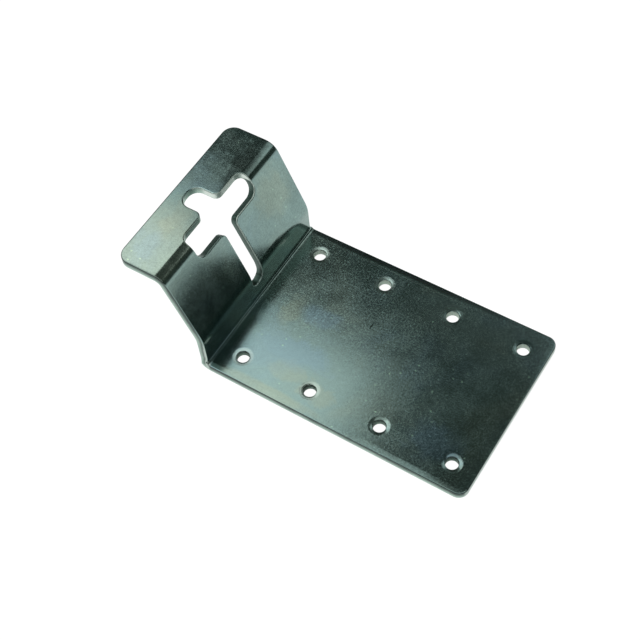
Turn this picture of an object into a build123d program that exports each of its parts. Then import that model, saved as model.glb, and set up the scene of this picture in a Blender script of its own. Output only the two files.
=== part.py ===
from build123d import *
from math import cos, radians, sin, sqrt, tan
import os

# Stamped metal bracket: one sheet, punched and folded, with a keyhole cut across its top fold.
#
# Frame: the centre of the screw-hole pattern on the underside of the base is the origin, X runs to
# the free end of the base, Y across the bracket and Z up. Sizes are in millimetres and degrees.

# ---- sheet and overall form ----------------------------------------------------------------------
sheet = 3.0                # thickness of the sheet
base_length = 110.0        # front face of the upright to the free end of the base
base_width = 75.0          # width of the screwed base
side_step = 1.0            # how much narrower than the base the upright is on each side
kink_height = 17.2         # underside of the base to the kink in the upright
wall_angle = 68.4          # slope of the leaning wall above the kink
total_height = 48.5        # underside of the base to the top of the lip
lip_depth = 20.7           # corner of the top fold to the outer edge of the lip

# ---- folds ---------------------------------------------------------------------------------------
foot_inside = 1.5          # inside radius of the fold between base and upright
kink_inside = 13.0         # inside radius of the slight fold at the kink
brow_inside = 3.0          # inside radius of the fold between wall and lip

# ---- outline -------------------------------------------------------------------------------------
base_corner = 4.0          # corner radius at the free end of the base
lip_corner = 5.0           # corner radius of the lip
shoulder_turn = 60.0       # how far round the foot's fold the sheet gets narrower
shoulder_radius = 3.5      # hollow curve that leads from the base's side to the upright's
edge_roll = 0.5            # rounding the punch leaves along the outline

# ---- screw holes ---------------------------------------------------------------------------------
hole_diameter = 5.0        # clearance holes for 4.5 mm screws
holes_per_row = 4
hole_margin = 10.0         # hole centre to the sides and to both ends of the base
dish_width = 1.1           # shallow slope that the punch leaves round every hole
dish_drop = 0.19           # how far that slope falls towards the hole
dish_roll = 6.0            # rounding between the slope and the face
hole_break = 0.2           # broken edge of the rim itself

# ---- keyhole -------------------------------------------------------------------------------------
arm_width = 9.6            # arm that runs out into the lip
arm_length = 10.7          # edge of the cross bar to the rounded end of the arm
arm_corner = 4.2           # rounding of the arm's end
bar_length = 37.0          # cross bar, measured across the bracket
bar_on_lip = 0.5           # how far the cross bar reaches past the top fold into the lip
bar_on_wall = 4.7          # how far it reaches past the fold down the leaning wall
bar_corner = 4.0           # rounding of the bar's ends on the leaning wall
bar_brow_corner = 3.2      # rounding of the bar's ends on the lip
throat_radius = 2.5        # rounding where the arm and the slot meet the bar
slot_width = 6.8           # slot that runs down the wall
slot_past_kink = 6.6       # how far the slot's rounded end lies below the kink
keyhole_roll = 0.5         # rounding of the rim on the punched side

# ---- derived positions ---------------------------------------------------------------------------
lean = radians(wall_angle)
wall_rise = total_height - kink_height
wall_length = wall_rise / sin(lean)
free_end = base_length / 2
upright_front = base_length / 2
upright_width = base_width - 2 * side_step
hole_pitch = (base_length - 2 * hole_margin) / (holes_per_row - 1)
hole_rows_apart = base_width - 2 * hole_margin

foot_outside = foot_inside + sheet
kink_outside = kink_inside + sheet
brow_outside = brow_inside + sheet
brow_tangent = brow_outside * tan(lean / 2)
brow_x = -(upright_front + wall_rise / tan(lean))
lip_x = brow_x - lip_depth
kink_back_z = kink_height - sheet * tan((radians(90) - lean) / 2)
brow_back_x = brow_x - sheet * tan(lean / 2)

bar_x = brow_x - brow_tangent - bar_on_lip
arm_x = bar_x - arm_length
bar_foot = wall_length - brow_tangent - bar_on_wall
slot_foot = kink_height - slot_past_kink
pad = 4.0 * sheet

front_foot = (-upright_front, sheet)
front_kink = (-upright_front, kink_height)
front_brow = (brow_x, total_height)
back_foot = (-upright_front - sheet, 0.0)
back_kink = (-upright_front - sheet, kink_back_z)
back_brow = (brow_back_x, total_height - sheet)

# The leaning wall's own plane: x across the bracket, y up the wall, z out of its front face.
wall_plane = Plane(
    origin=(-upright_front, 0, kink_height),
    x_dir=(0, 1, 0),
    z_dir=(sin(lean), 0, sin(radians(90) - lean)),
)
upright_plane = Plane(origin=(-upright_front, 0, 0), x_dir=(0, 1, 0), z_dir=(1, 0, 0))
shoulder_rise = sqrt(side_step * (2 * shoulder_radius - side_step))
shoulder_plane = Plane(
    origin=(-upright_front + foot_inside, 0, sheet + foot_inside), x_dir=(0, 1, 0),
    z_dir=(sin(radians(shoulder_turn)), 0, cos(radians(shoulder_turn))),
)
brow_plane = Plane(
    origin=wall_plane.from_local_coords((0, wall_length - brow_tangent, 0)), z_dir=wall_plane.y_dir
)


def is_punched(face):
    """True for a large face on the punch's side: base top, front of the upright and wall, lip top."""
    normal = face.normal_at()
    return (
        abs(normal.Y) < 1e-6 and min(normal.X, normal.Z) > -1e-6
        and face.center().X < free_end - sheet and face.area > bar_length * sheet / 2
    )


def ring(radius, height):
    """Circular edges of one radius that lie at one height above the base's underside."""
    return bracket.edges().filter_by(GeomType.CIRCLE).filter_by(
        lambda e: abs(e.radius - radius) < 1e-6 and abs(e.arc_center.Z - height) < 1e-6
    )


def in_keyhole(edge):
    """True for an edge of the keyhole."""
    spot = edge.center()
    return arm_x - 0.01 < spot.X < -upright_front + 0.01 and abs(spot.Y) < bar_length / 2 + 0.01


# Keyhole above the leaning wall: the arm in the lip and the half of the bar that lies in the fold.
with BuildPart() as keyhole_top:
    with BuildSketch(Plane.XY.offset(total_height + pad)) as top_outline:
        with Locations((bar_x, 0)):
            Rectangle(
                bar_on_lip + 2 * brow_tangent, bar_length, align=(Align.MIN, Align.CENTER)
            )
        with Locations((arm_x, 0)):
            Rectangle(arm_length + brow_tangent, arm_width, align=(Align.MIN, Align.CENTER))
        for x, near, far, radius in (
            (arm_x, 0, arm_width, arm_corner),
            (bar_x, 0, arm_width, throat_radius),
            (bar_x, arm_width, bar_length, bar_brow_corner),
        ):
            ends = top_outline.vertices().filter_by(
                lambda v: abs(v.X - x) < 0.01 and near < abs(v.Y) < far
            )
            fillet(ends, radius)
    extrude(amount=-(pad + wall_rise / 2))
    split(bisect_by=brow_plane, keep=Keep.TOP)

with BuildPart() as bracket:
    # Folded sheet: sharp profile first, then every fold gets its inside and outside radius.
    with BuildSketch(Plane.XZ) as profile:
        with BuildLine():
            Polyline(
                (free_end, sheet), front_foot, front_kink, front_brow, (lip_x, total_height),
                (lip_x, total_height - sheet), back_brow, back_kink, back_foot, (free_end, 0.0),
                close=True,
            )
        make_face()
        for corner, radius in (
            (front_foot, foot_inside), (back_foot, foot_outside),
            (back_kink, kink_inside), (front_kink, kink_outside),
            (back_brow, brow_inside), (front_brow, brow_outside),
        ):
            fillet(profile.vertices().sort_by_distance(corner)[0], radius)
    extrude(amount=base_width / 2, both=True)

    # From part of the way round the foot's fold the sheet is narrower than the base.
    with BuildSketch(shoulder_plane) as sides:
        with BuildLine():
            hollow = RadiusArc(
                (base_width / 2, 0), (upright_width / 2, shoulder_rise), shoulder_radius
            )
            Polyline(
                hollow @ 1, (upright_width / 2, total_height + pad),
                (base_width / 2 + pad, total_height + pad), (base_width / 2 + pad, 0), hollow @ 0,
            )
        make_face()
        mirror(about=Plane.YZ)
    extrude(amount=total_height + pad, both=True, mode=Mode.SUBTRACT)

    # Rounded corners of the base and of the lip.
    for end_x, radius in ((free_end, base_corner), (lip_x, lip_corner)):
        standing = bracket.edges().filter_by(Axis.Z)
        fillet(standing.filter_by_position(Axis.X, end_x - 0.01, end_x + 0.01), radius)

    # Eight screw holes.
    with Locations((0, 0, sheet)):
        with GridLocations(hole_pitch, hole_rows_apart, holes_per_row, 2):
            Hole(hole_diameter / 2)

    # Keyhole: the arm, the bar across the fold, and the slot down the wall to below the kink.
    add(keyhole_top.part, mode=Mode.SUBTRACT)
    with BuildSketch(wall_plane.offset(pad)) as lower:
        with Locations((0, bar_foot)):
            Rectangle(bar_length, bar_on_wall, align=(Align.CENTER, Align.MIN))
        with Locations((0, 0.5 * bar_foot)):
            Rectangle(slot_width, 0.6 * bar_foot, align=(Align.CENTER, Align.MIN))
        for near, far, radius in (
            (0, slot_width, throat_radius), (slot_width, bar_length, bar_corner)
        ):
            ends = lower.vertices().filter_by(
                lambda v: abs(v.Y - bar_foot) < 0.01 and near < abs(v.X) < far
            )
            fillet(ends, radius)
    extrude(amount=-(pad + 2 * sheet), mode=Mode.SUBTRACT)

    with BuildSketch(upright_plane.offset(pad)) as foot:
        with Locations((0, slot_foot + slot_width / 2)):
            Circle(slot_width / 2)
            Rectangle(
                slot_width, slot_past_kink + 0.6 * bar_foot, align=(Align.CENTER, Align.MIN)
            )
    extrude(amount=-(2 * pad + 3 * sheet), mode=Mode.SUBTRACT)

    # The punch rolls every rim over on its side of the sheet; the other side stays crisp.
    punched = bracket.faces().filter_by(is_punched)
    shared = [edge for face in punched for edge in face.edges()]
    rim = ShapeList(e for e in shared if sum(e.is_same(other) for other in shared) == 1)
    hole_rims = ring(hole_diameter / 2, sheet)
    keyhole_rim = rim.filter_by(in_keyhole)
    outline = rim - hole_rims - keyhole_rim
    chamfer(hole_rims, dish_width, dish_drop, reference=punched.sort_by(Axis.Z)[0])
    fillet(keyhole_rim, keyhole_roll)
    fillet(outline, edge_roll)
    fillet(ring(hole_diameter / 2 + dish_width, sheet), dish_roll)
    chamfer(ring(hole_diameter / 2, sheet - dish_drop), hole_break)

bracket.part.label = "bracket"
os.makedirs("parts", exist_ok=True)
export_step(bracket.part, "parts/bracket.step")
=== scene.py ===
"""Dresses the stamped bracket: its zinc-plated finish, the studio that it lies in and the camera.

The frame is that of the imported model: the middle of the screw holes on the underside of the base
is the origin, X runs to the free end of the base, Y across it and Z up. The table, the lamps and
the camera are placed in metres. Places on the bracket's surface, in the finishes, are in
millimetres, patterns are scaled in features to the metre, and bumps are deep in metres.
"""

import logging
import math
from dataclasses import dataclass, field
from enum import Enum
from functools import reduce

import bmesh
import bpy
from mathutils import Matrix, Vector


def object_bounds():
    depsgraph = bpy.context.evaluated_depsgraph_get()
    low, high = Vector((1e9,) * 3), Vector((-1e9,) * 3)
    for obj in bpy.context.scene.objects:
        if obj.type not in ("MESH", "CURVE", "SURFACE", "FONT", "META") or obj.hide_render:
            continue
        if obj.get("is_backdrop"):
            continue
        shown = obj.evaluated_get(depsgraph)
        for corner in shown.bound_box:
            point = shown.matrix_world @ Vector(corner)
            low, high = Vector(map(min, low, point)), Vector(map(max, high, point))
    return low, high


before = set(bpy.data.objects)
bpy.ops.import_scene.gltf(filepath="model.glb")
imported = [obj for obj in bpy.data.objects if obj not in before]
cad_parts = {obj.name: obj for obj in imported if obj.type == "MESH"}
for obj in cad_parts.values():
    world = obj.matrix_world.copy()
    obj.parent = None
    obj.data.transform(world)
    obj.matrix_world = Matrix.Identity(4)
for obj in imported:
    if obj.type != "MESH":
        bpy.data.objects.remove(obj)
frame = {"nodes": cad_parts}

Colour = tuple[float, float, float]
Socket = bpy.types.NodeSocket
Outputs = bpy.types.bpy_prop_collection
LOG = logging.getLogger("bracket_scene")
BRACKET = "bracket"

# Millimetres in a metre.
MM = 1000.0

# Where a patch starts to fade and where it ends, in half sizes from its middle.
PATCH_CORE = 0.5
PATCH_RIM = 1.2


class Noise(Enum):
    """The kinds of procedural pattern that the finishes are mixed from."""

    CLOUD = "ShaderNodeTexNoise"
    CELLS = "ShaderNodeTexVoronoi"


class Blend(Enum):
    """The ways in which one colour is laid over another."""

    COVER = "MIX"
    TINT = "MULTIPLY"


@dataclass(frozen=True)
class Ramp:
    """A smooth change of a result from start to end, while a value goes from low to high."""

    low: float
    high: float
    start: float = 0.0
    end: float = 1.0


@dataclass(frozen=True)
class Patch:
    """A soft oval patch on the bracket seen from above, in millimetres.

    The fray is how far, in half sizes, a pattern moves its outline between inmost and outmost.
    """

    x: float
    y: float
    half_x: float
    half_y: float
    strength: float
    fray: float

    def fade(self) -> Ramp:
        """Returns how the patch fades with the distance from its middle, in half sizes."""
        spare = 0.5 * self.fray
        return Ramp(PATCH_CORE + spare, PATCH_RIM + spare, self.strength, 0.0)


class NodeSheet:
    """Lays out and wires the nodes of one material, world or node group."""

    columns: int = 12
    column_width: int = 220
    row_height: int = 260

    def __init__(self, tree: bpy.types.NodeTree) -> None:
        """Starts on an empty node tree.

        Args:
            tree: The tree to fill; whatever it holds is cleared.
        """
        tree.nodes.clear()
        self.tree = tree
        self.count = 0

    def add(self, kind: str, **settings: object) -> bpy.types.Node:
        """Adds a node and sets its properties.

        Args:
            kind: Blender's name for the type of node.
            **settings: Properties of the node, by name.

        Returns:
            The new node.
        """
        node = self.tree.nodes.new(kind)
        row, column = divmod(self.count, self.columns)
        node.location = (self.column_width * column, -self.row_height * row)
        self.count += 1
        for name, value in settings.items():
            setattr(node, name, value)
        return node

    def put(self, socket: Socket, value: object) -> None:
        """Sets one input, or wires it.

        Args:
            socket: The input.
            value: A number, a colour, or the output socket to wire to the input.
        """
        if isinstance(value, Socket):
            self.tree.links.new(value, socket)
        elif socket.type == "RGBA":
            socket.default_value = (*value, 1.0)
        else:
            socket.default_value = value

    def feed(self, node: bpy.types.Node, **values: object) -> bpy.types.Node:
        """Sets or wires a node's inputs, named with _ for each space.

        Args:
            node: The node whose inputs are fed.
            **values: For each input a constant, or the output socket to wire to it.

        Returns:
            The same node.
        """
        for name, value in values.items():
            self.put(node.inputs[name.replace("_", " ")], value)
        return node

    def group(self, tree: bpy.types.NodeTree, **values: object) -> Outputs:
        """Places a node group.

        Args:
            tree: The group's tree.
            **values: For each input a constant or a socket.

        Returns:
            The outputs of the group's node.
        """
        return self.feed(self.add("ShaderNodeGroup", node_tree=tree), **values).outputs

    def math(self, operation: str, *values: object) -> Socket:
        """Adds a Math node.

        Args:
            operation: Blender's name for the operation.
            *values: Its inputs in order, constants or sockets.

        Returns:
            The result's socket.
        """
        node = self.add("ShaderNodeMath", operation=operation)
        for socket, value in zip(node.inputs, values):
            self.put(socket, value)
        return node.outputs[0]

    def plus(self, *values: object) -> Socket:
        """Adds up two or more values, constants or sockets."""
        return reduce(lambda first, second: self.math("ADD", first, second), values)

    def minus(self, first: object, second: object) -> Socket:
        """Takes the second value from the first."""
        return self.math("SUBTRACT", first, second)

    def times(self, *values: object) -> Socket:
        """Multiplies two or more values, constants or sockets."""
        return reduce(lambda first, second: self.math("MULTIPLY", first, second), values)

    def larger(self, first: object, second: object) -> Socket:
        """Takes the larger of two values."""
        return self.math("MAXIMUM", first, second)

    def blend(self, share: Socket, off: object, on: object) -> Socket:
        """Adds a number that goes from one value to another.

        Args:
            share: The share of the second value.
            off: The result where the share is 0.
            on: The result where the share is 1.

        Returns:
            The number's socket.
        """
        return self.plus(off, self.times(share, self.minus(on, off)))

    def spread(self, value: Socket, ramp: Ramp) -> Socket:
        """Maps a value over a ramp.

        Args:
            value: The socket to map.
            ramp: The value's range, and the results at its two ends and beyond them.

        Returns:
            The mapped value's socket.
        """
        node = self.add("ShaderNodeMapRange", interpolation_type="SMOOTHSTEP")
        self.feed(node, Value=value, From_Min=ramp.low, From_Max=ramp.high)
        self.feed(node, To_Min=ramp.start, To_Max=ramp.end)
        return node.outputs["Result"]

    def mix(self, factor: object, first: object, second: object, blend: Blend = Blend.COVER) -> Socket:
        """Mixes two colours.

        Args:
            factor: The share of the second colour, a number or a socket.
            first: A colour or a socket.
            second: A colour or a socket.
            blend: How the second colour is laid over the first.

        Returns:
            The mixed colour's socket.
        """
        node = self.add("ShaderNodeMix", data_type="RGBA", blend_type=blend.value)
        for index, value in ((0, factor), (6, first), (7, second)):
            self.put(node.inputs[index], value)
        return node.outputs[2]

    def pattern(self, kind: Noise, place: Socket, scale: object, **values: object) -> Socket:
        """Adds a noise pattern.

        Args:
            kind: Which pattern.
            place: The coordinates that it follows.
            scale: Features to the metre.
            **values: Further inputs of the texture node.

        Returns:
            The pattern's value, from 0 to 1.
        """
        node = self.feed(self.add(kind.value), Vector=place, Scale=scale, **values)
        return node.outputs["Fac" if kind is Noise.CLOUD else "Distance"]

    def axes(self, place: Socket) -> tuple[Socket, ...]:
        """Splits a place in metres into its coordinates in millimetres.

        Args:
            place: The coordinates.

        Returns:
            The sockets of X, Y and Z.
        """
        larger = self.add("ShaderNodeVectorMath", operation="SCALE")
        self.put(larger.inputs[0], place)
        self.feed(larger, Scale=MM)
        return tuple(self.feed(self.add("ShaderNodeSeparateXYZ"), Vector=larger.outputs[0]).outputs)

    def length(self, first: Socket, second: Socket) -> Socket:
        """Adds the length of a pair of coordinates.

        Args:
            first: The first coordinate.
            second: The second coordinate.

        Returns:
            The length's socket.
        """
        return self.math("SQRT", self.plus(self.times(first, first), self.times(second, second)))

    def patch(self, x: Socket, y: Socket, spot: Patch, fray: Socket) -> Socket:
        """Adds a soft oval patch.

        Args:
            x: The coordinate along the bracket, in millimetres.
            y: The coordinate across it.
            spot: The patch's middle, size and strength.
            fray: A pattern from 0 to 1 that makes its outline uneven.

        Returns:
            The patch's socket, from 0 outside to its strength inside.
        """
        along = self.math("DIVIDE", self.minus(x, spot.x), spot.half_x)
        across = self.math("DIVIDE", self.minus(y, spot.y), spot.half_y)
        far = self.plus(self.length(along, across), self.times(fray, spot.fray))
        return self.spread(far, spot.fade())


def group_tree(name: str, inputs: tuple[str, ...], outputs: tuple[str, ...]) -> tuple[
        NodeSheet, bpy.types.Node, bpy.types.Node]:
    """Starts a shader node group that takes a place and some numbers and puts out numbers.

    Args:
        name: The group's name.
        inputs: The names of the numbers that the group takes besides the place.
        outputs: The names of its results.

    Returns:
        The group's sheet, its input node and its output node.
    """
    tree = bpy.data.node_groups.new(name, "ShaderNodeTree")
    tree.interface.new_socket("Place", in_out="INPUT", socket_type="NodeSocketVector")
    for way, labels in (("INPUT", inputs), ("OUTPUT", outputs)):
        for label in labels:
            tree.interface.new_socket(label, in_out=way, socket_type="NodeSocketFloat")
    sheet = NodeSheet(tree)
    return sheet, sheet.add("NodeGroupInput"), sheet.add("NodeGroupOutput")


@dataclass(frozen=True)
class SheetForm:
    """Where a point lies in the folded sheet, and how the punch rolled the sheet's outline over.

    The sizes are those of the folded sheet, in millimetres and degrees. Depth runs from the
    punched face, which is the top of the base and of the lip, into the sheet. The side step is
    how much further in each side of the upright is than that of the base.
    """

    half_length: float
    half_width: float
    total_height: float
    lip_end: float
    name: str = "sheet_form"
    thickness: float = 3.0
    kink_height: float = 17.2
    wall_angle: float = 68.4
    joined_above: float = 10.32
    corner: float = 4.5
    foot_inside: float = 1.5
    kink_rounding: float = 1.7
    brow_rounding: float = 6.2
    side_step: Ramp = Ramp(-59.0, -54.0, 1.0, 0.0)
    edge_band: Ramp = Ramp(0.0, 0.9, 1.0, 0.0)
    roll_width: float = 2.3
    roll_slope: float = 0.075
    roll_rate: float = 0.012
    rolled_near: Ramp = Ramp(-33.0, -29.0, 1.0, 0.0)
    rolled_past_fold: Ramp = Ramp(-56.0, -53.0)
    rolled_to_free_end: Ramp = Ramp(30.0, 52.0, 1.0, 0.45)
    rolled_elsewhere: float = 0.12
    dip_start: float = -45.5
    dip_rate: Ramp = Ramp(-31.0, -17.0, 0.0028, -0.0014)
    base_slack: float = 0.5
    hole_pitch: float = 30.0
    hole_row: float = 27.5
    hole_none: float = 50.0
    dish_radius: float = 4.3
    dish_rate: float = 0.042
    dish_near: Ramp = Ramp(-5.0, 5.0, 0.9, -0.45)
    dish_far: float = 0.6

    @classmethod
    def fitted(cls, box: list[list[float]]) -> "SheetForm":
        """Takes the outline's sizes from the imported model.

        Args:
            box: The model's lowest and highest corner, in metres.

        Returns:
            The form of the model's sheet.
        """
        low, high = box
        return cls(
            half_length=MM * high[0], half_width=MM * high[1], total_height=MM * high[2], lip_end=MM * low[0],
        )

    def depth(self, sheet: NodeSheet, x: Socket, z: Socket) -> Socket:
        """Adds the depth below the punched face.

        Args:
            sheet: The group's sheet.
            x: The coordinate along the bracket.
            z: The height.

        Returns:
            The depth's socket, in millimetres.
        """
        behind = sheet.larger(sheet.minus(self.foot_inside - self.half_length, x), 0.0)
        below = sheet.larger(sheet.minus(self.foot_inside + self.thickness, z), 0.0)
        foot = sheet.minus(sheet.length(behind, below), self.foot_inside)
        lean = math.radians(self.wall_angle)
        along = sheet.times(sheet.plus(x, self.half_length), -math.sin(lean))
        rise = sheet.times(sheet.minus(z, self.kink_height), math.cos(lean))
        lip = sheet.minus(self.total_height, z)
        upper = sheet.math("SMOOTH_MIN", sheet.minus(along, rise), lip, self.brow_rounding)
        upper = sheet.math("SMOOTH_MIN", upper, foot, self.kink_rounding)
        return sheet.blend(sheet.math("GREATER_THAN", z, self.joined_above), foot, upper)

    def inward(self, sheet: NodeSheet, x: Socket, side: Socket) -> Socket:
        """Adds the distance from the sheet's outline.

        Args:
            sheet: The group's sheet.
            x: The coordinate along the bracket.
            side: The distance from its middle line.

        Returns:
            The distance's socket, in millimetres.
        """
        step = sheet.spread(x, self.side_step)
        over_side = sheet.larger(sheet.plus(side, step, self.corner - self.half_width), 0.0)
        over_free = sheet.minus(x, self.half_length - self.corner)
        over_lip = sheet.minus(self.lip_end + self.corner, x)
        over_end = sheet.larger(sheet.larger(over_free, over_lip), 0.0)
        return sheet.minus(self.corner, sheet.length(over_side, over_end))

    def roll(self, sheet: NodeSheet, x: Socket, y: Socket, inward: Socket) -> Socket:
        """Adds how far the outline is rolled over, which is most along the near side of the base.

        Args:
            sheet: The group's sheet.
            x: The coordinate along the bracket.
            y: The coordinate across it.
            inward: The distance from the outline.

        Returns:
            The fall's socket, in millimetres.
        """
        fall = sheet.larger(sheet.minus(self.roll_width, inward), 0.0)
        slope = sheet.plus(sheet.times(fall, self.roll_rate), self.roll_slope)
        past_fold = sheet.spread(x, self.rolled_past_fold)
        near_edge = sheet.times(
            sheet.spread(y, self.rolled_near), past_fold, sheet.spread(x, self.rolled_to_free_end),
        )
        return sheet.times(fall, slope, sheet.blend(near_edge, self.rolled_elsewhere, 1.0))

    def dip(self, sheet: NodeSheet, x: Socket, y: Socket, on_base: Socket) -> Socket:
        """Adds how far the base sinks towards the fold near its near side, and rises beside that.

        Args:
            sheet: The group's sheet.
            x: The coordinate along the bracket.
            y: The coordinate across it.
            on_base: The mask of the base.

        Returns:
            The dip's socket, in millimetres.
        """
        near_fold = sheet.larger(sheet.minus(self.dip_start, x), 0.0)
        return sheet.times(near_fold, near_fold, on_base, sheet.spread(y, self.dip_rate))

    def hole(self, sheet: NodeSheet, x: Socket, side: Socket, on_base: Socket) -> Socket:
        """Adds the distance from the axis of the nearest screw hole.

        Args:
            sheet: The group's sheet.
            x: The coordinate along the bracket.
            side: The distance from its middle line.
            on_base: The mask of the base, since there is no hole above it.

        Returns:
            The distance's socket, in millimetres.
        """
        along = sheet.minus(sheet.math("FLOORED_MODULO", x, self.hole_pitch), 0.5 * self.hole_pitch)
        above = sheet.times(sheet.minus(1.0, on_base), self.hole_none)
        return sheet.plus(sheet.length(along, sheet.minus(side, self.hole_row)), above)

    def dish(self, sheet: NodeSheet, x: Socket, y: Socket, hole: Socket) -> Socket:
        """Adds how much the slope round each screw hole differs from row to row.

        Args:
            sheet: The group's sheet.
            x: The coordinate along the bracket.
            y: The coordinate across it.
            hole: The distance from the axis of the nearest hole.

        Returns:
            The extra height's socket, in millimetres.
        """
        inside = sheet.larger(sheet.minus(self.dish_radius, hole), 0.0)
        far_side = sheet.math("GREATER_THAN", y, 0.0)
        share = sheet.blend(far_side, sheet.spread(x, self.dish_near), self.dish_far)
        return sheet.times(inside, inside, self.dish_rate, share)

    def build(self) -> bpy.types.NodeTree:
        """Makes the node group.

        Returns:
            The group, with outputs Depth in millimetres, Roll, a height in metres, Edge, which is 1
            at the outline, and Hole, the distance from the nearest hole's axis in millimetres.
        """
        sheet, given, result = group_tree(self.name, (), ("Depth", "Roll", "Edge", "Hole"))
        x, y, z = sheet.axes(given.outputs["Place"])
        side = sheet.math("ABSOLUTE", y)
        on_base = sheet.math("LESS_THAN", z, self.thickness + self.base_slack)
        inward = self.inward(sheet, x, side)
        hole = self.hole(sheet, x, side, on_base)
        fallen = sheet.plus(self.roll(sheet, x, y, inward), self.dip(sheet, x, y, on_base))
        sunk = sheet.minus(fallen, self.dish(sheet, x, y, hole))
        sheet.feed(result, Depth=self.depth(sheet, x, z), Roll=sheet.times(sunk, -1.0 / MM))
        sheet.feed(result, Edge=sheet.spread(inward, self.edge_band), Hole=hole)
        return sheet.tree


@dataclass(frozen=True)
class PlateGrain:
    """The fine orange-peel grain of plated sheet, with scattered rough specks."""

    name: str = "plate_grain"
    fine_share: float = 0.75
    coarse_scale: float = 0.45
    graded: Ramp = Ramp(-5.0, 32.0, 0.50, 0.65)
    worn_slant: float = 0.6
    quiet: Patch = Patch(-38.0, -27.0, 46.0, 25.0, 0.68, 0.6)
    above_foot: Ramp = Ramp(4.0, 7.0)
    behind_fold: Ramp = Ramp(-56.5, -55.0, 1.0, 0.0)
    folded_grain: float = 0.30
    lip_grain: float = 0.30
    lip_height: Ramp = Ramp(46.0, 48.0)
    lip_far: Ramp = Ramp(-2.0, 24.0)
    frost: Ramp = Ramp(0.48, 0.72)
    blotch: Ramp = Ramp(0.45, 0.70, 0.0, 0.22)
    dots_scale: float = 0.20
    dots: Ramp = Ramp(0.05, 0.14, 0.75, 0.0)
    drift_scale: float = 0.08
    drift: Ramp = Ramp(0.44, 0.60)

    def weight(self, sheet: NodeSheet, place: tuple[Socket, ...], far_lip: Socket,
               coarse: Socket) -> Socket:
        """Adds how strong the grain is: by place on the base, and even on the foot, wall and lip.

        Only the lip's far part has more of it.

        Args:
            sheet: The group's sheet.
            place: The sockets of X, Y and Z, in millimetres.
            far_lip: The mask of the lip's far part.
            coarse: A pattern that frays the quiet patch.

        Returns:
            The strength's socket.
        """
        x, y, z = place
        slanted = sheet.spread(sheet.minus(y, sheet.times(x, self.worn_slant)), self.graded)
        on_base = sheet.times(slanted, sheet.minus(1.0, sheet.patch(x, y, self.quiet, coarse)))
        folded = sheet.plus(sheet.times(far_lip, self.lip_grain), self.folded_grain)
        above = sheet.larger(sheet.spread(z, self.above_foot), sheet.spread(x, self.behind_fold))
        return sheet.blend(above, on_base, folded)

    def build(self) -> bpy.types.NodeTree:
        """Makes the node group.

        Returns:
            The group, with outputs Height, which swings round 0 and is larger where the grain is
            stronger, and Frost and Speck, masks from 0 to 1.
        """
        sheet, given, result = group_tree(self.name, ("Scale",), ("Height", "Frost", "Speck"))
        place, scale = given.outputs["Place"], given.outputs["Scale"]
        x, y, z = sheet.axes(place)
        fine = sheet.pattern(Noise.CLOUD, place, scale, Detail=2.0, Roughness=0.65)
        coarse = sheet.pattern(Noise.CLOUD, place, sheet.times(scale, self.coarse_scale), Detail=2.0)
        height = sheet.plus(sheet.times(fine, self.fine_share), sheet.times(coarse, 1.0 - self.fine_share))
        far_lip = sheet.times(sheet.spread(z, self.lip_height), sheet.spread(y, self.lip_far))
        weight = self.weight(sheet, (x, y, z), far_lip, coarse)
        frost = sheet.times(sheet.spread(fine, self.frost), weight)
        blotch = sheet.times(far_lip, sheet.spread(coarse, self.blotch))
        dots = sheet.pattern(Noise.CELLS, place, sheet.times(scale, self.dots_scale), Randomness=1.0)
        drift = sheet.pattern(Noise.CLOUD, place, sheet.times(scale, self.drift_scale), Detail=1.0)
        speck = sheet.times(sheet.spread(dots, self.dots), sheet.spread(drift, self.drift))
        sheet.feed(result, Height=sheet.times(sheet.minus(height, 0.5), weight))
        sheet.feed(result, Frost=sheet.larger(frost, blotch), Speck=speck)
        return sheet.tree


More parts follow.
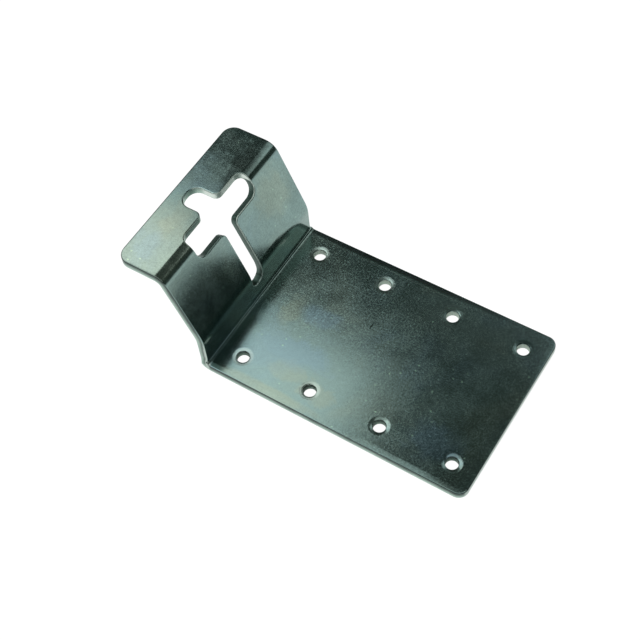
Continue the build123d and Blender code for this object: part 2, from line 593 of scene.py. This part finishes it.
@dataclass(frozen=True)
class PassivationClouds:
    """The faint blue and straw-coloured clouds that the passivation bath leaves on zinc."""

    name: str = "passivation_clouds"
    straw: tuple[Patch, ...] = (
        Patch(-23.0, -24.0, 10.0, 5.0, 0.45, 3.2), Patch(-12.0, -28.0, 10.0, 4.0, 0.45, 3.4),
        Patch(-40.0, -1.0, 5.0, 9.0, 0.5, 2.2), Patch(-78.0, -8.0, 5.0, 14.0, 0.28, 2.6),
        Patch(-30.0, -35.5, 25.0, 2.4, 0.6, 1.0), Patch(-62.0, 24.0, 4.0, 10.0, 0.4, 1.6),
    )
    blue: tuple[Patch, ...] = (
        Patch(-28.0, 2.0, 10.0, 5.0, 0.7, 1.6), Patch(-30.0, -16.0, 18.0, 7.0, 0.6, 1.6),
        Patch(-81.0, -27.0, 5.0, 8.0, 0.6, 1.6), Patch(36.0, -24.0, 12.0, 8.0, 0.9, 1.6),
    )
    straw_haze: Ramp = Ramp(0.50, 0.72, 0.0, 0.30)
    blue_haze: Ramp = Ramp(0.50, 0.30, 0.0, 0.5)
    fray_scale: float = 4.0
    stain_scale: float = 2.7
    stain: Ramp = Ramp(0.3, 0.7)

    def build(self) -> bpy.types.NodeTree:
        """Makes the node group.

        Returns:
            The group, with outputs Straw, Blue and Stain, all from 0 to 1.
        """
        sheet, given, result = group_tree(self.name, ("Scale",), ("Straw", "Blue", "Stain"))
        place, scale = given.outputs["Place"], given.outputs["Scale"]
        x, y, _ = sheet.axes(place)
        hue = sheet.pattern(Noise.CLOUD, place, scale, Detail=4.0, Roughness=0.55, Distortion=0.6)
        finer = sheet.times(scale, self.fray_scale)
        fray = sheet.pattern(Noise.CLOUD, place, finer, Detail=4.0, Roughness=0.6, Distortion=0.4)
        blotchy = sheet.times(scale, self.stain_scale)
        stain = sheet.pattern(Noise.CLOUD, place, blotchy, Detail=5.0, Roughness=0.65)
        sheet.feed(result, Stain=sheet.spread(stain, self.stain))
        for label, haze, patches in (
            ("Straw", self.straw_haze, self.straw),
            ("Blue", self.blue_haze, self.blue),
        ):
            cloud = sheet.spread(hue, haze)
            for spot in patches:
                cloud = sheet.larger(cloud, sheet.patch(x, y, spot, fray))
            sheet.feed(result, **{label: cloud})
        return sheet.tree


@dataclass(frozen=True)
class PlateZones:
    """The ranges of depth and place that tell the parts of the sheet's surface from each other.

    All are in millimetres: the depth below the punched face, the distance from a hole's axis, or
    a coordinate.
    """

    below_face: Ramp = Ramp(0.30, 0.60)
    above_back: Ramp = Ramp(2.84, 2.97, 1.0, 0.0)
    rim_line: Ramp = Ramp(0.02, 0.14)
    base_top: Ramp = Ramp(3.2, 3.6, 1.0, 0.0)
    lip_top: Ramp = Ramp(46.0, 47.0)
    keyhole_start: Ramp = Ramp(-54.6, -54.2, 1.0, 0.0)
    keyhole_end: Ramp = Ramp(-86.0, -85.0)
    keyhole_side: Ramp = Ramp(19.0, 20.0, 1.0, 0.0)
    keyhole_far_rim: Ramp = Ramp(2.6, 3.2)
    hole_wall: Ramp = Ramp(3.0, 3.4, 0.85, 0.0)
    far_row: Ramp = Ramp(0.0, 5.0)


class PlateSurface:
    """The node sheet of the plate's material, with the places and masks that its layers share."""

    def __init__(self, sheet: NodeSheet, zones: PlateZones, place: Socket, shape: Outputs) -> None:
        """Adds the masks.

        Args:
            sheet: The material's sheet.
            zones: The ranges that the masks are made with.
            place: The Object coordinates.
            shape: The outputs of the group of SheetForm.
        """
        self.sheet = sheet
        self.place = place
        self.x, self.y, self.z = sheet.axes(place)
        self.depth, self.roll = shape["Depth"], shape["Roll"]
        self.edge, self.hole = shape["Edge"], shape["Hole"]
        below = sheet.spread(self.depth, zones.below_face)
        self.top = sheet.minus(1.0, below)
        self.on_base = sheet.times(self.top, sheet.spread(self.z, zones.base_top))
        self.on_lip = sheet.times(self.top, sheet.spread(self.z, zones.lip_top))
        self.cut = sheet.times(below, sheet.spread(self.depth, zones.above_back))
        self.line = sheet.times(sheet.spread(self.depth, zones.rim_line), self.top)
        self.in_keyhole = sheet.times(
            sheet.spread(self.x, zones.keyhole_start), sheet.spread(self.x, zones.keyhole_end),
            sheet.spread(sheet.math("ABSOLUTE", self.y), zones.keyhole_side),
        )
        # far_rim is where a painted highlight runs along the keyhole's far rim.
        far_side = sheet.spread(self.y, zones.keyhole_far_rim)
        self.far_rim = sheet.times(self.line, self.in_keyhole, far_side)
        far_row = sheet.spread(self.y, zones.far_row)
        # far_wall is where a painted highlight lies on the walls of the far row of holes.
        self.far_wall = sheet.times(sheet.spread(self.hole, zones.hole_wall), far_row)


@dataclass(frozen=True)
class ZincPlate:
    """Blue-passivated zinc plate on rolled and punched steel sheet.

    A ramp's range is in millimetres where it maps a coordinate, a depth or the distance from a
    hole, and without a unit where it maps a pattern.
    """

    name: str = "zinc_plate"
    zones: PlateZones = PlateZones()

    # The tones of the plate, its marks, the cut steel, and painted highlights and shade.
    cool: Colour = (0.226, 0.330, 0.308)
    straw: Colour = (0.290, 0.350, 0.270)
    blue: Colour = (0.215, 0.330, 0.370)
    # pale is also the tone of painted highlights: round the holes, on the keyhole's far rim, at the near end
    # of the fold and along the base's far side.
    pale: Colour = (0.52, 0.62, 0.56)
    # The tone of painted highlights on the far wall of the keyhole in the lip and on the walls of the far
    # holes.
    painted_highlight: Colour = (0.86, 0.93, 0.87)
    flake: Colour = (0.40, 0.60, 0.47)
    # rim is the tone of painted shade: on the outline's rolled edge, along the lip's outline, near the lip's
    # fold and along the base's far side.
    rim: Colour = (0.060, 0.085, 0.078)
    scratched: Colour = (0.02, 0.03, 0.03)
    cut_dark: Colour = (0.048, 0.080, 0.068)
    cut_pale: Colour = (0.43, 0.58, 0.50)

    # Clouds, grain and slow waves.
    cloud_scale: float = 32.0
    cloud_shade: Ramp = Ramp(0.0, 1.0, 0.92, 1.05)
    grain_scale: float = 1350.0
    grain_depth: float = 0.000015
    mottle: float = 2.9
    wave_scale: float = 26.0
    wave_depth: float = 0.00003

    # Wear and marks of the foot, the lip and the base, and painted shade and highlights on the lip and the
    # base.
    foot_start: Ramp = Ramp(4.0, 6.0)
    foot_end: Ramp = Ramp(14.0, 17.0, 1.0, 0.0)
    foot_wear: Ramp = Ramp(5.0, 25.0, 0.40, 0.1)
    lip_lift: Colour = (1.40, 1.20, 1.08)
    lip_lifted: Ramp = Ramp(-18.0, 0.0, 0.9, 0.0)
    # Painted shade along the lip's outline: the share of the rim tone there.
    lip_line: float = 0.8
    # A painted shade: a dark patch on the lip near its fold.
    lip_fold_shade: Patch = Patch(-70.0, 19.0, 6.5, 19.0, 0.50, 0.8)
    scratch: Patch = Patch(-9.7, 8.5, 0.35, 1.9, 0.8, 0.2)
    # Painted highlight: a small pale glint at the near end of the fold.
    corner_glint: Patch = Patch(-54.9, -37.0, 1.1, 0.8, 0.9, 0.8)
    # Painted highlight and painted shade: a pale line and a dark band along the base's far side.
    far_highlight_line: Patch = Patch(-30.0, 34.4, 70.0, 0.30, 0.26, 0.2)
    far_shade_line: Patch = Patch(-20.0, 36.4, 62.0, 1.5, 0.75, 0.15)
    # Painted highlight: a pale ring round the holes of the base, fading out towards the free end.
    hole_highlight: Ramp = Ramp(3.2, 4.6, 0.35, 0.0)
    hole_highlight_along: Ramp = Ramp(-10.0, 20.0, 1.0, 0.0)

    # The punched edges, with painted light and shade on some of their walls.
    cut_swing: Ramp = Ramp(0.0, 1.0, -0.3, 0.3)
    cut_fade: Ramp = Ramp(0.3, 2.9)
    # Painted shade on the keyhole's walls below the lip, and painted light on its walls in the lip.
    upright_cut: Ramp = Ramp(45.0, 46.0, 0.85, 0.0)
    lip_cut: Ramp = Ramp(45.0, 46.0)
    lip_cut_pale: float = 0.6
    lit_side: Ramp = Ramp(1.5, 3.0, 0.0, 0.75)
    lit_along: Ramp = Ramp(-80.0, -77.0)
    free_end: Ramp = Ramp(54.2, 54.8, 0.0, 0.7)

    # The gloss. The extras are added to the roughness of what lies below them.
    roughness: float = 0.155
    roughness_swing: Ramp = Ramp(0.0, 1.0, -0.015, 0.02)
    frost_roughness: float = 0.27
    speck_roughness: float = 0.36
    cut_roughness: float = 0.38
    far_rim_extra: float = 0.35
    far_wall_extra: float = 0.3

    def plated(self, on: PlateSurface, grain: Outputs, cloud: Outputs) -> Socket:
        """Adds the colour of the plate: its clouds, mottle and pale specks.

        Args:
            on: The material's sheet and masks.
            grain: The outputs of the group of PlateGrain.
            cloud: The outputs of the group of PassivationClouds.

        Returns:
            The colour's socket.
        """
        sheet = on.sheet
        tint = sheet.mix(cloud["Straw"], self.cool, self.straw)
        tint = sheet.mix(cloud["Blue"], tint, self.blue)
        tint = sheet.mix(1.0, tint, sheet.spread(cloud["Stain"], self.cloud_shade), Blend.TINT)
        mottle = sheet.plus(sheet.times(grain["Height"], self.mottle), 1.0)
        tint = sheet.mix(1.0, tint, mottle, Blend.TINT)
        return sheet.mix(grain["Speck"], tint, self.flake)

    def worn_and_shaded_folds(self, on: PlateSurface, face: Socket, stain: Socket) -> Socket:
        """Adds to the plate's colour the wear of the foot and the lip, and a painted shade on the lip near
        its fold.

        Args:
            on: The material's sheet and masks.
            face: The colour of the plate.
            stain: A pattern that frays the patches.

        Returns:
            The colour's socket.
        """
        sheet = on.sheet
        foot = sheet.times(
            sheet.spread(on.z, self.foot_start), sheet.spread(on.z, self.foot_end),
            sheet.spread(on.y, self.foot_wear), on.top,
        )
        face = sheet.mix(foot, face, self.pale)
        near_lip = sheet.times(sheet.spread(on.y, self.lip_lifted), on.on_lip)
        face = sheet.mix(near_lip, face, sheet.mix(1.0, face, self.lip_lift, Blend.TINT))
        # Painted shade on the lip near its fold.
        shaded_near_fold = sheet.times(sheet.patch(on.x, on.y, self.lip_fold_shade, stain), on.on_lip)
        return sheet.mix(shaded_near_fold, face, self.rim)

    def marked_and_lit_base(self, on: PlateSurface, face: Socket, stain: Socket) -> Socket:
        """Adds the scratch on the base, and the painted highlights and shade on it: the pale hole rims and
        the lines of the far side.

        Args:
            on: The material's sheet and masks.
            face: The colour of the plate.
            stain: A pattern that frays the patches.

        Returns:
            The colour's socket.
        """
        sheet = on.sheet
        scratch = sheet.times(sheet.patch(on.x, on.y, self.scratch, stain), on.on_base)
        face = sheet.mix(scratch, face, self.scratched)
        # Painted highlight round the screw holes.
        hole_highlight = sheet.times(sheet.spread(on.hole, self.hole_highlight), sheet.spread(on.x, self.hole_highlight_along))
        face = sheet.mix(sheet.times(hole_highlight, on.on_base), face, self.pale)
        # Painted shade and painted highlight along the base's far side.
        for band, tone in ((self.far_shade_line, self.rim), (self.far_highlight_line, self.pale)):
            graded = sheet.times(sheet.patch(on.x, on.y, band, stain), on.on_base)
            face = sheet.mix(graded, face, tone)
        return face

    def cut_edge(self, on: PlateSurface, stain: Socket) -> Socket:
        """Adds the colour of the punched edges: dark near the face and paler near the back, and painted light
        and shade on some walls.

        Args:
            on: The material's sheet and masks.
            stain: A pattern that makes the paler part start unevenly.

        Returns:
            The colour's socket.
        """
        sheet = on.sheet
        torn = sheet.plus(on.depth, sheet.spread(stain, self.cut_swing))
        edge = sheet.mix(sheet.spread(torn, self.cut_fade), self.cut_dark, self.cut_pale)
        # Painted shade on the keyhole's walls below the lip.
        below_lip = sheet.times(on.in_keyhole, sheet.spread(on.z, self.upright_cut))
        edge = sheet.mix(below_lip, edge, self.cut_dark)
        # Painted light on the keyhole's walls in the lip.
        in_lip = sheet.times(on.in_keyhole, sheet.spread(on.z, self.lip_cut))
        edge = sheet.mix(sheet.times(in_lip, self.lip_cut_pale), edge, self.cut_pale)
        # Painted highlight on the far wall of the keyhole in the lip.
        lit = sheet.times(in_lip, sheet.spread(on.y, self.lit_side), sheet.spread(on.x, self.lit_along))
        edge = sheet.mix(lit, edge, self.painted_highlight)
        # Painted highlight on the walls of the far row of holes.
        edge = sheet.mix(on.far_wall, edge, self.painted_highlight)
        return sheet.mix(sheet.spread(on.x, self.free_end), edge, self.pale)

    def colour(self, on: PlateSurface, grain: Outputs, cloud: Outputs) -> Socket:
        """Adds the colour of the whole sheet.

        Args:
            on: The material's sheet and masks.
            grain: The outputs of the group of PlateGrain.
            cloud: The outputs of the group of PassivationClouds.

        Returns:
            The colour's socket.
        """
        sheet, stain = on.sheet, cloud["Stain"]
        face = self.worn_and_shaded_folds(on, self.plated(on, grain, cloud), stain)
        face = self.marked_and_lit_base(on, face, stain)
        # Painted shade along the lip's outline.
        face = sheet.mix(sheet.times(on.edge, on.on_lip, self.lip_line), face, self.rim)
        colour = sheet.mix(on.cut, face, self.cut_edge(on, stain))
        # Painted shade on the rolled edge of the whole outline.
        colour = sheet.mix(sheet.times(on.line, on.edge), colour, self.rim)
        # Painted highlight on the keyhole's far rim.
        colour = sheet.mix(on.far_rim, colour, self.pale)
        # Painted glint at the near end of the fold.
        return sheet.mix(sheet.patch(on.x, on.y, self.corner_glint, stain), colour, self.pale)

    def dullness(self, on: PlateSurface, grain: Outputs, stain: Socket) -> Socket:
        """Adds the roughness: low on the plate, higher on its frost and specks and on cut edges.

        Args:
            on: The material's sheet and masks.
            grain: The outputs of the group of PlateGrain.
            stain: A pattern that makes the plate's gloss uneven.

        Returns:
            The roughness's socket, from 0 to 1.
        """
        sheet = on.sheet
        plate = sheet.plus(sheet.spread(stain, self.roughness_swing), self.roughness)
        frost = sheet.times(grain["Frost"], self.frost_roughness - self.roughness)
        speck = sheet.times(grain["Speck"], self.speck_roughness - self.frost_roughness)
        rim = sheet.times(on.far_rim, self.far_rim_extra)
        far_wall = sheet.times(on.far_wall, self.far_wall_extra)
        cut = sheet.times(on.cut, sheet.plus(far_wall, self.cut_roughness - self.roughness))
        rough = sheet.plus(plate, frost, rim, speck, cut)
        return sheet.math("MINIMUM", rough, 1.0)

    def relief(self, on: PlateSurface, grain: Outputs) -> Socket:
        """Adds the relief: the sheet's slow waves, its rolled outline, and the grain on top.

        Args:
            on: The material's sheet and masks.
            grain: The outputs of the group of PlateGrain.

        Returns:
            The normal's socket.
        """
        sheet = on.sheet
        wave = sheet.pattern(Noise.CLOUD, on.place, self.wave_scale, Detail=1.0)
        bump = sheet.feed(sheet.add("ShaderNodeBump"), Height=wave, Distance=self.wave_depth)
        for height, distance in ((on.roll, 1.0), (grain["Height"], self.grain_depth)):
            under = bump.outputs["Normal"]
            bump = sheet.feed(sheet.add("ShaderNodeBump"), Height=height, Distance=distance, Normal=under)
        return bump.outputs["Normal"]

    def build(self, form: bpy.types.NodeTree, grain: bpy.types.NodeTree,
              clouds: bpy.types.NodeTree) -> bpy.types.Material:
        """Makes the material.

        Args:
            form: The node group of SheetForm.
            grain: The node group of PlateGrain.
            clouds: The node group of PassivationClouds.

        Returns:
            The material.
        """
        material = bpy.data.materials.new(self.name)
        material.use_nodes = True
        sheet = NodeSheet(material.node_tree)
        place = sheet.add("ShaderNodeTexCoord").outputs["Object"]
        grains = sheet.group(grain, Place=place, Scale=self.grain_scale)
        cloud = sheet.group(clouds, Place=place, Scale=self.cloud_scale)
        on = PlateSurface(sheet, self.zones, place, sheet.group(form, Place=place))
        shader = sheet.feed(
            sheet.add("ShaderNodeBsdfPrincipled"), Metallic=1.0, Base_Color=self.colour(on, grains, cloud),
            Roughness=self.dullness(on, grains, cloud["Stain"]), Normal=self.relief(on, grains),
        )
        sheet.feed(sheet.add("ShaderNodeOutputMaterial"), Surface=shader.outputs["BSDF"])
        return material


@dataclass
class StampedBracket:
    """The folded and punched sheet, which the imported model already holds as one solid.

    Args:
        node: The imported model's object.
    """

    node: bpy.types.Object
    slot: str = "zinc_steel"

    def dress(self, finish: bpy.types.Material) -> None:
        """Gives every material slot of the sheet the same finish.

        Args:
            finish: The material that covers the whole sheet.
        """
        for slot in self.node.material_slots:
            slot.material = finish
        LOG.info("dressed %s with %s", self.node.name, finish.name)


@dataclass
class Floor:
    """The wide white table that the bracket lies on.

    Metal mirrors it as white, but for the part below the bracket, within shaded_x and shaded_y in
    millimetres, which it mirrors as paint in the shade.
    """

    half_width: float = 12.0
    gap: float = 0.00002
    glow: float = 1.14
    glow_share: float = 0.85
    mirrored_share: float = 0.78
    paint: Colour = (0.92, 0.92, 0.92)
    shaded_x: float = 50.0
    shaded_y: float = 32.0

    def finish(self) -> bpy.types.Material:
        """Makes the floor's paint, which looks white to the camera and in what mirrors it.

        Returns:
            The material.
        """
        material = bpy.data.materials.new("floor_paint")
        material.use_nodes = True
        sheet = NodeSheet(material.node_tree)
        paint = sheet.feed(sheet.add("ShaderNodeBsdfDiffuse"), Color=self.paint)
        white = sheet.feed(sheet.add("ShaderNodeEmission"), Strength=self.glow)
        ray = sheet.add("ShaderNodeLightPath").outputs
        x, y, _ = sheet.axes(sheet.add("ShaderNodeTexCoord").outputs["Object"])
        beside = sheet.math("GREATER_THAN", sheet.math("ABSOLUTE", x), self.shaded_x)
        past = sheet.math("GREATER_THAN", sheet.math("ABSOLUTE", y), self.shaded_y)
        mirrored = sheet.times(ray["Is Glossy Ray"], sheet.larger(beside, past), self.mirrored_share)
        seen = sheet.larger(ray["Is Camera Ray"], mirrored)
        seen = sheet.larger(seen, ray["Is Transmission Ray"])
        mixed = sheet.add("ShaderNodeMixShader")
        shares = (sheet.times(seen, self.glow_share), paint.outputs[0], white.outputs[0])
        for socket, value in zip(mixed.inputs, shares):
            sheet.put(socket, value)
        sheet.feed(sheet.add("ShaderNodeOutputMaterial"), Surface=mixed.outputs[0])
        return material

    def build(self) -> bpy.types.Object:
        """Makes the floor just under the bracket.

        Returns:
            The floor's object.
        """
        floor = flat_piece("studio_floor", self.half_width, Vector((0, 0, -self.gap)))
        floor.data.materials.append(self.finish())
        floor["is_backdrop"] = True
        LOG.info("laid %s", floor.name)
        return floor


def flat_piece(name: str, half_width: float, centre: Vector) -> bpy.types.Object:
    """Makes a flat square that faces up.

    Args:
        name: The object's name.
        half_width: Half of its side.
        centre: Where its middle is.

    Returns:
        The object, linked to the scene.
    """
    shape = bmesh.new()
    bmesh.ops.create_grid(shape, x_segments=1, y_segments=1, size=half_width)
    bmesh.ops.translate(shape, vec=centre, verts=shape.verts)
    mesh = bpy.data.meshes.new(name)
    shape.to_mesh(mesh)
    shape.free()
    piece = bpy.data.objects.new(name, mesh)
    bpy.context.scene.collection.objects.link(piece)
    return piece


@dataclass(frozen=True)
class Softbox:
    """A large flat lamp with a white cloth, which hangs over the bracket and faces down.

    Left and right are where its ends lie along X, near and far where its sides lie along Y.
    """

    name: str
    left: float
    right: float
    near: float
    far: float
    radiance: float
    height: float = 1.0

    def build(self) -> bpy.types.Object:
        """Hangs the lamp.

        Returns:
            The lamp's object.
        """
        lamp = bpy.data.lights.new(self.name, "AREA")
        lamp.shape = "RECTANGLE"
        lamp.size, lamp.size_y = self.right - self.left, self.far - self.near
        lamp.energy = self.radiance * math.pi * lamp.size * lamp.size_y
        piece = bpy.data.objects.new(self.name, lamp)
        middle = (0.5 * (self.left + self.right), 0.5 * (self.near + self.far), self.height)
        piece.matrix_world = Matrix.Translation(middle)
        bpy.context.scene.collection.objects.link(piece)
        LOG.info("hung %s", self.name)
        return piece


@dataclass(frozen=True)
class Ceiling:
    """The softboxes, with the dark gaps between them that the plate mirrors."""

    softboxes: tuple[Softbox, ...] = (
        Softbox("softbox_main", left=-2.120, right=-0.320, near=-1.688, far=0.512, radiance=1.5),
        Softbox("softbox_wing", left=-1.635, right=-0.635, near=0.512, far=0.592, radiance=1.5),
        Softbox("softbox_side", left=-0.10, right=0.94, near=0.60, far=1.40, radiance=0.8),
        Softbox("softbox_haze", left=-0.34, right=-0.10, near=0.60, far=1.40, radiance=0.10),
        Softbox("softbox_front", left=-0.30, right=1.20, near=-1.36, far=0.24, radiance=0.6),
    )

    def build(self) -> None:
        """Hangs all softboxes."""
        for softbox in self.softboxes:
            softbox.build()


@dataclass(frozen=True)
class Room:
    """The dim room above the table: pale haze at the level of the table, darker higher up."""

    high: Colour = (0.050, 0.063, 0.056)
    low: Colour = (0.85, 0.87, 0.88)
    haze: Ramp = Ramp(0.0, 0.12)

    def build(self) -> None:
        """Fills the world with the room's light."""
        world = bpy.data.worlds.new("studio_room")
        world.use_nodes = True
        bpy.context.scene.world = world
        sheet = NodeSheet(world.node_tree)
        way = sheet.add("ShaderNodeTexCoord").outputs["Generated"]
        rise = sheet.feed(sheet.add("ShaderNodeSeparateXYZ"), Vector=way).outputs["Z"]
        air = sheet.mix(sheet.spread(rise, self.haze), self.low, self.high)
        sky = sheet.feed(sheet.add("ShaderNodeBackground"), Color=air, Strength=1.0)
        sheet.feed(sheet.add("ShaderNodeOutputWorld"), Surface=sky.outputs[0])
        LOG.info("filled the room")


@dataclass
class Viewpoint:
    """Where the camera stands and how it is held: in degrees and metres, its lens in millimetres."""

    azimuth: float = -52.213
    elevation: float = 56.069
    distance: float = 0.49725
    target: Vector = field(default_factory=lambda: Vector((-0.0296, 0.00263, 0.0)))
    roll: float = -6.855
    lens: float = 72.189
    sensor: float = 36.0
    clip_near: float = 0.01
    clip_far: float = 60.0

    def build(self) -> bpy.types.Object:
        """Sets up the camera.

        Returns:
            The camera's object.
        """
        side, rise = math.radians(self.azimuth), math.radians(self.elevation)
        back = Vector((math.cos(side) * math.cos(rise), math.sin(side) * math.cos(rise), math.sin(rise)))
        data = bpy.data.cameras.new("camera")
        data.lens = self.lens
        data.sensor_width = self.sensor
        data.sensor_fit = "HORIZONTAL"
        data.clip_start, data.clip_end = self.clip_near, self.clip_far
        camera = bpy.data.objects.new("camera", data)
        turn = back.to_track_quat("Z", "Y").to_matrix().to_4x4()
        level = Matrix.Translation(self.target + back * self.distance) @ turn
        camera.matrix_world = level @ Matrix.Rotation(math.radians(self.roll), 4, "Z")
        bpy.context.scene.collection.objects.link(camera)
        bpy.context.scene.camera = camera
        LOG.info("stood the camera at %s", tuple(round(v, 4) for v in camera.matrix_world.translation))
        return camera


def as_lists(corners: tuple[Vector, Vector]) -> list[list[float]]:
    """Turns two corners into plain lists of numbers."""
    return [[float(value) for value in corner] for corner in corners]


def main(loaded: dict) -> None:
    """Builds the finishes, the studio and the camera, and dresses the bracket.
    """
    logging.basicConfig(level=logging.INFO, format="%(name)s: %(message)s")
    cad_box = as_lists(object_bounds())
    bpy.context.scene.view_settings.view_transform = "Standard"
    form = SheetForm.fitted(cad_box).build()
    zinc = ZincPlate().build(form, PlateGrain().build(), PassivationClouds().build())
    StampedBracket(loaded["nodes"][BRACKET]).dress(zinc)
    Floor().build()
    Room().build()
    Ceiling().build()
    Viewpoint().build()


if __name__ == "__main__":
    main(frame)
